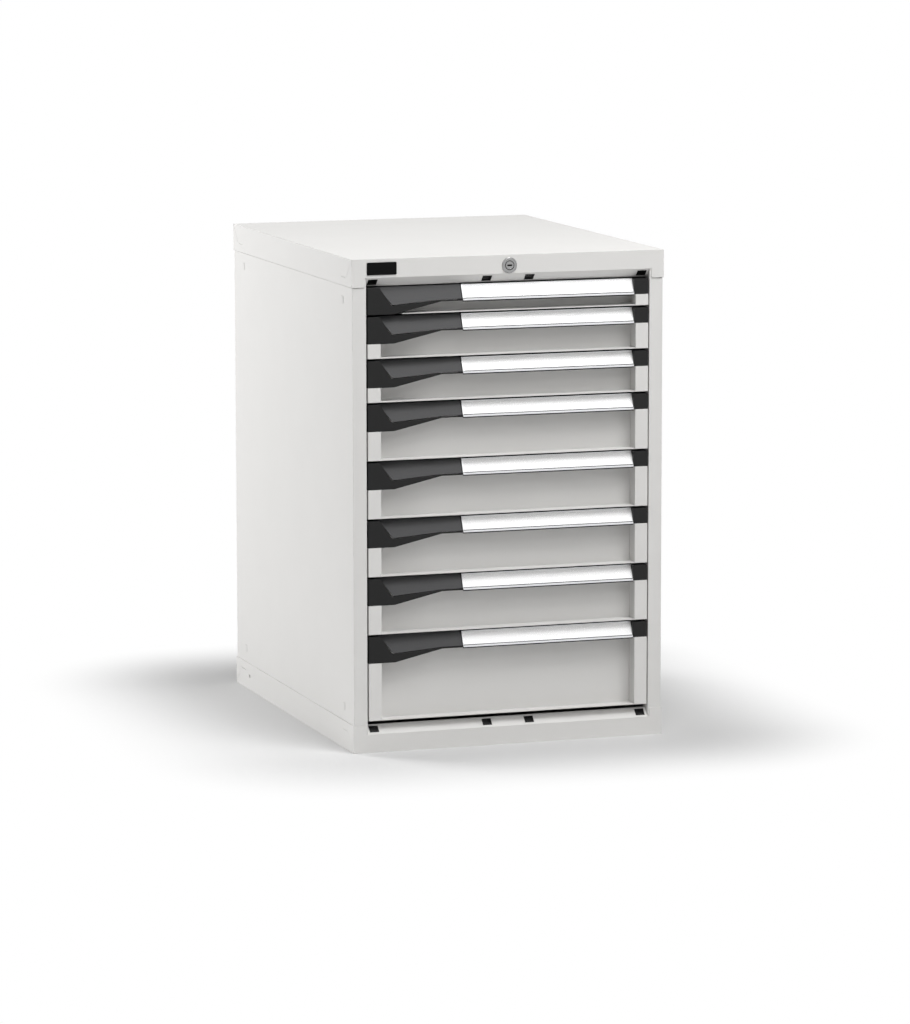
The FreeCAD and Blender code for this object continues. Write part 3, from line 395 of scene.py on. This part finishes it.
def extruded(section, x_low, x_high, bevel=0.0):
    """Bar along X with a section of Y, Z points and, with a bevel, softened edges."""
    bm = bmesh.new()
    rings = [[bm.verts.new((x, y, z)) for y, z in section] for x in (x_low, x_high)]
    count = len(section)
    for index in range(count):
        after = (index + 1) % count
        bm.faces.new((rings[0][index], rings[0][after], rings[1][after], rings[1][index]))
    bm.faces.new(rings[0])
    bm.faces.new(rings[1])
    if bevel:
        bmesh.ops.bevel(
            bm, geom=bm.edges[:], offset=bevel, segments=2, affect="EDGES", clamp_overlap=True
        )
    return bm


# The leaning face of each handle: how far it leans back, how high it is, and how deep the
# label's seat lies in it, in millimetres
FACE_LEAN, FACE_HEIGHT, SEAT_DEPTH = 11, 23.6, 1
LEAN = math.atan2(FACE_LEAN, FACE_HEIGHT)
SLOPE = Vector((math.sin(LEAN), math.cos(LEAN)))
OUTWARDS = Vector((-math.cos(LEAN), math.sin(LEAN)))

# Sections as distances up the label's seat and out from it, in millimetres
PAPER_SECTION = [(1.3, 0.02), (24.4, 0.02), (24.4, 0.2), (1.3, 0.2)]
COVER_SECTION = [
    (1.3, 0.25),
    (24.7, 0.25),
    (24.7, 0.65),
    (24.3, 0.8),
    (23.8, 0.55),
    (2.1, 0.55),
    (1.7, 0.8),
    (1.3, 0.65),
]
# Black strip in the groove below the label: painted shade for the shaded seam between label and lip
GROOVE_SHADE_SECTION = [(0.1, 0.02), (1.1, 0.02), (1.1, 0.3), (0.1, 0.3)]

# Sections as distances back from the handle's front and up from its top, in millimetres
# Black strips: painted shade for the dark gap above the handle, under the drawer above, and for the
# shade under the handle's lip
TOP_GAP_SHADE_SECTION = [(11.2, 0.0), (25.2, 0.0), (25.2, 0.6), (12.0, 1.6), (11.2, 1.3)]
UNDER_LIP_SHADE_SECTION = [(0.1, -26.8), (0.1, -28.1), (0.5, -28.6), (2.8, -28.6), (3.2, -26.8)]

# How far each end stays inside the handle's, for the paper, and for its cover and the strip of
# painted shade in the groove
PAPER_INSET, COVER_INSET = 0.8 * MM, 0.4 * MM
THIN_BEVEL = 0.05 * MM


def on_seat(number, section):
    """Y, Z of points of a section on the label's seat."""
    low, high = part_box(f"drawer_{number}_handle")
    foot = Vector((low.y + SEAT_DEPTH * MM, high.z - FACE_HEIGHT * MM))
    return [foot + (SLOPE * along + OUTWARDS * out) * MM for along, out in section]


def on_profile(number, section):
    """Y, Z of points of a section at the handle's front and top."""
    low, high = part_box(f"drawer_{number}_handle")
    return [(low.y + back * MM, high.z + up * MM) for back, up in section]


def handle_strip(title, number, points, material, inset=0.0, bevel=0.0):
    """Strip along a handle, each end so far inside the handle's, which rides on its drawer."""
    low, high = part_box(f"drawer_{number}_handle")
    strip = extruded(points, low.x + inset, high.x - inset, bevel)
    piece_from(f"{title}_{number}", strip, material, f"drawer_{number}")


def dress_handle(number):
    """Paper label, its clear cover with a bead along each edge, and the black strips of painted
    shade on the handle's top, under its lip and in the groove below the label."""
    paper = on_seat(number, PAPER_SECTION)
    cover = on_seat(number, COVER_SECTION)
    groove = on_seat(number, GROOVE_SHADE_SECTION)
    handle_strip("label", number, paper, PAPER, PAPER_INSET, THIN_BEVEL)
    handle_strip("label_cover", number, cover, CLEAR, COVER_INSET)
    # Painted shade: black strips where the gap above the handle, the underside of its lip and the
    # groove below the label lie in shade
    handle_strip("top_gap_painted_shade", number, on_profile(number, TOP_GAP_SHADE_SECTION), SHADE_BLACK)
    handle_strip("under_lip_painted_shade", number, on_profile(number, UNDER_LIP_SHADE_SECTION), SHADE_BLACK)
    handle_strip("label_groove_painted_shade", number, groove, SHADE_BLACK, COVER_INSET, THIN_BEVEL)


for number in DRAWERS:
    dress_handle(number)


# Painted shade in the lock's key slot, a dark sheet for its shaded depth: half its length, and
# its section as distances back from the cylinder's face and up from its middle, in millimetres
SLOT_SHADE_REACH = 4.3 * MM
SLOT_SHADE_SECTION = [(-0.15, -1.3), (-0.15, 1.3), (-0.02, 1.4), (-0.02, -1.4)]
# Painted shade round the cylinder, a dark ring for the shaded gap on the lock's face: its section
# as distances from the lock's axis and back from the cylinder's face, in millimetres, and its
# corners around
GAP_SHADE_SECTION = [(7.2, -0.02), (7.5, -0.15), (8.0, -0.15), (8.3, -0.02)]
GAP_SHADE_CORNERS = 48


def lock_slot_painted_shade():
    """Dark sheet in the key slot, a painted shade for the slot's shaded depth, which turns with the
    cylinder.
    """
    low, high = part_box("lock_cylinder")
    middle = (low.z + high.z) / 2
    section = [(low.y + back * MM, middle + up * MM) for back, up in SLOT_SHADE_SECTION]
    slot_shade = extruded(section, -SLOT_SHADE_REACH, SLOT_SHADE_REACH)
    # Painted shade: black where the key slot is dark with depth
    piece_from("lock_slot_painted_shade", slot_shade, SHADE_BLACK, "lock_cylinder")


def lock_gap_painted_shade():
    """Dark ring on the lock's face, round the cylinder: painted shade for the shaded gap there."""
    low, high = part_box("lock_cylinder")
    middle = Vector((0, low.y, (low.z + high.z) / 2))
    bm = bmesh.new()
    rings = []
    for radius, back in GAP_SHADE_SECTION:
        ring = []
        for corner in range(GAP_SHADE_CORNERS):
            angle = 2 * math.pi * corner / GAP_SHADE_CORNERS
            around = Vector((math.cos(angle) * radius, back, math.sin(angle) * radius)) * MM
            ring.append(bm.verts.new(middle + around))
        rings.append(ring)
    for inner, outer in zip(rings, rings[1:] + rings[:1]):
        for corner in range(GAP_SHADE_CORNERS):
            after = (corner + 1) % GAP_SHADE_CORNERS
            bm.faces.new((inner[corner], inner[after], outer[after], outer[corner]))
    # Painted shade: a black ring where the gap round the cylinder lies in shade
    piece_from("lock_gap_painted_shade", bm, SHADE_BLACK, "cabinet")


lock_slot_painted_shade()
lock_gap_painted_shade()


# Rivets in the folds that hold the back panel, in a row on each side: how many, how far the
# row is from the middle, the levels of its ends, and the size of a head
RIVETS_IN_ROW = 8
RIVET_ROW_PLACE = 264 * MM
RIVET_ROW_LOW, RIVET_ROW_HIGH = 90 * MM, 760 * MM
RIVET_HEAD_RADIUS, RIVET_HEAD_HEIGHT = 3.2 * MM, 1.1 * MM


def rivet_row_tree():
    """Node tree that sets flattened domes along a line, and its inputs by their titles."""
    tree = bpy.data.node_groups.new("rivet_row", "GeometryNodeTree")
    tree.is_modifier = True
    inputs = {}
    for title, kind in (
        ("Count", "NodeSocketInt"),
        ("Start", "NodeSocketVector"),
        ("End", "NodeSocketVector"),
        ("Head radius", "NodeSocketFloat"),
        ("Head height", "NodeSocketFloat"),
        ("Finish", "NodeSocketMaterial"),
    ):
        socket = tree.interface.new_socket(title, in_out="INPUT", socket_type=kind)
        inputs[title] = socket.identifier
    tree.interface.new_socket("Geometry", in_out="OUTPUT", socket_type="NodeSocketGeometry")
    given = add(tree, "NodeGroupInput").outputs
    line = add(
        tree,
        "GeometryNodeMeshLine",
        {"Count": given["Count"], "Start Location": given["Start"], "Offset": given["End"]},
        mode="END_POINTS",
    )
    dome = add(
        tree,
        "GeometryNodeMeshUVSphere",
        {"Segments": 14, "Rings": 8, "Radius": given["Head radius"]},
    )
    flatness = maths(tree, "DIVIDE", given["Head height"], given["Head radius"])
    scale = add(tree, "ShaderNodeCombineXYZ", {"X": 1.0, "Y": flatness, "Z": 1.0})
    head = add(
        tree,
        "GeometryNodeTransform",
        {"Geometry": dome.outputs["Mesh"], "Scale": scale.outputs["Vector"]},
    )
    rivets = add(
        tree,
        "GeometryNodeInstanceOnPoints",
        {"Points": line.outputs["Mesh"], "Instance": head.outputs["Geometry"]},
    )
    real = add(tree, "GeometryNodeRealizeInstances", {"Geometry": rivets.outputs["Instances"]})
    coloured = add(
        tree,
        "GeometryNodeSetMaterial",
        {"Geometry": real.outputs["Geometry"], "Material": given["Finish"]},
    )
    add(tree, "NodeGroupOutput", {"Geometry": coloured.outputs["Geometry"]})
    return tree, inputs


def grown(name, tree, settings, body):
    """Piece that a node tree makes, turned into a plain mesh on its body."""
    maker = new_object(name + "_maker", bpy.data.meshes.new(name + "_maker"))
    modifier = maker.modifiers.new("maker", "NODES")
    modifier.node_group = tree
    for identifier, setting in settings.items():
        modifier[identifier] = setting
    bpy.context.view_layer.update()
    evaluated = maker.evaluated_get(bpy.context.evaluated_depsgraph_get())
    mesh = bpy.data.meshes.new_from_object(evaluated)
    mesh.name = name
    bpy.data.objects.remove(maker)
    piece = new_object(name, mesh)
    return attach(piece, body)


RIVETS, RIVET_INPUTS = rivet_row_tree()
for side_name, side in (("left", -1), ("right", 1)):
    low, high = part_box(f"side_panel_{side_name}")
    row_x = side * RIVET_ROW_PLACE
    grown(
        f"back_rivets_{side_name}",
        RIVETS,
        {
            RIVET_INPUTS["Count"]: RIVETS_IN_ROW,
            RIVET_INPUTS["Start"]: (row_x, high.y, RIVET_ROW_LOW),
            RIVET_INPUTS["End"]: (row_x, high.y, RIVET_ROW_HIGH),
            RIVET_INPUTS["Head radius"]: RIVET_HEAD_RADIUS,
            RIVET_INPUTS["Head height"]: RIVET_HEAD_HEIGHT,
            RIVET_INPUTS["Finish"]: PAINT,
        },
        "cabinet",
    )


# Floor and backdrop: pale for the light, white to the eye, and the floor keeps the shadow that the
# lamps cast, under a painted shade that darkens it towards the object's foot.
# The floor's colour as the eye sees it near the object, darker as a painted shade, and as it lights
# the object
NEAR_FLOOR_PAINTED_SHADE = "#d2d2d2"
BOUNCE = "#e9e9e9"
# How far from the object the floor's painted shade starts to run out into white, and where it is
# white
SHADOW_NEAR = 50 * MM
SHADOW_FAR = 400 * MM
# How far the floor reaches each way, in metres
FLOOR_REACH = 60
WHITE = (1, 1, 1, 1)
# Strength of the white surroundings as a light
AMBIENT = 0.14


def seen_directly(tree):
    """1 for what the eye sees, straight or in a mirror or glass."""
    path = add(tree, "ShaderNodeLightPath").outputs
    first = maths(tree, "MAXIMUM", path["Is Camera Ray"], path["Is Glossy Ray"])
    return maths(tree, "MAXIMUM", first, path["Is Transmission Ray"])


def floor_material():
    """Matt near the object, where its shadow falls and a painted shade darkens it, and running out
    into the white backdrop.
    """
    material, tree = new_material("pale_floor")
    where = object_place(tree)
    seen = seen_directly(tree)
    colour = blend_colours(tree, seen, BOUNCE, NEAR_FLOOR_PAINTED_SHADE)
    matt = add(tree, "ShaderNodeBsdfDiffuse", {"Color": colour})
    # How far a point lies outside the object's footprint
    half = [max(abs(low), high) for low, high in zip(cad_box[0], cad_box[1])]
    flat = vector_maths(tree, "ABSOLUTE", where)["Vector"]
    past = vector_maths(tree, "SUBTRACT", flat, (half[0], half[1], 0))["Vector"]
    outside = vector_maths(tree, "MAXIMUM", past, (0, 0, 0))["Vector"]
    far = vector_maths(tree, "LENGTH", outside)["Value"]
    # Painted shade: near the object the floor seen is darker, and it runs out into white with
    # distance from the footprint, whatever the light
    fade = add(
        tree,
        "ShaderNodeMapRange",
        {"Value": far, "From Min": SHADOW_NEAR, "From Max": SHADOW_FAR},
        interpolation_type="SMOOTHSTEP",
    )
    share = maths(tree, "MULTIPLY", fade.outputs["Result"], seen)
    glow = add(tree, "ShaderNodeEmission", {"Color": WHITE, "Strength": 1.0})
    both = add(
        tree,
        "ShaderNodeMixShader",
        {0: share, 1: matt.outputs[0], 2: glow.outputs[0]},
    )
    add(tree, "ShaderNodeOutputMaterial", {"Surface": both.outputs[0]})
    return material


def make_floor():
    """Square floor at the object's foot."""
    bm = bmesh.new()
    corners = [(-1, -1), (1, -1), (1, 1), (-1, 1)]
    bm.faces.new([bm.verts.new((x * FLOOR_REACH, y * FLOOR_REACH, 0)) for x, y in corners])
    floor = new_object("floor", mesh_from("floor", bm, floor_material()))


def make_world():
    """White surroundings, which the eye sees brighter than they light the object."""
    world = bpy.data.worlds.new("studio")
    bpy.context.scene.world = world
    world.use_nodes = True
    tree = world.node_tree
    tree.nodes.clear()
    strength = spread(tree, seen_directly(tree), AMBIENT, 1.0)
    sky = add(tree, "ShaderNodeBackground", {"Color": WHITE, "Strength": strength})
    add(tree, "ShaderNodeOutputWorld", {"Surface": sky.outputs[0]})


# Square softboxes: place and width in metres, and watts. They face a point near the object's
# middle.
SOFTBOXES = {
    "above": ((0.5, -1.6, 3.4), 1.6, 66),
    "above_front": ((0.3, -2.6, 3.3), 2.5, 52),
    "left_rear": ((-3.0, 3.0, 2.0), 2.0, 180),
    "front_right": ((3.2, -4.2, 1.5), 2.0, 22),
}
LIT_POINT = Vector((0, 0, 0.4))


def make_softbox(name, stand, width, watts):
    """Area lamp that faces the lit point."""
    lamp = bpy.data.lights.new(name, "AREA")
    lamp.size = width
    lamp.energy = watts
    holder = new_object(name, lamp)
    turn = (LIT_POINT - Vector(stand)).to_track_quat("-Z", "Y")
    holder.matrix_world = Matrix.Translation(stand) @ turn.to_matrix().to_4x4()


# The camera: its place in metres, its angles in degrees, and its lens in millimetres
CAMERA_PLACE = (-2.7686, -8.3288, 1.6609)
CAMERA_TURN, CAMERA_LOOKS_DOWN, CAMERA_ROLL = -18.53, 8.464, -0.069
CAMERA_LENS = 174.23


def make_camera():
    """Camera of the photograph: a long lens, a little above, from the front left."""
    data = bpy.data.cameras.new("camera")
    data.lens = CAMERA_LENS
    data.sensor_width = 36
    data.clip_end = 200
    camera = new_object("camera", data)
    turn = Matrix.Rotation(math.radians(CAMERA_TURN), 4, "Z")
    tilt = Matrix.Rotation(math.radians(90 - CAMERA_LOOKS_DOWN), 4, "X")
    roll = Matrix.Rotation(math.radians(CAMERA_ROLL), 4, "Z")
    camera.matrix_world = Matrix.Translation(CAMERA_PLACE) @ turn @ tilt @ roll
    bpy.context.scene.camera = camera


make_floor()
make_world()
make_camera()
for name, (stand, width, watts) in SOFTBOXES.items():
    make_softbox(name, stand, width, watts)

bpy.context.scene.view_settings.view_transform = "Standard"

bpy.context.view_layer.update()
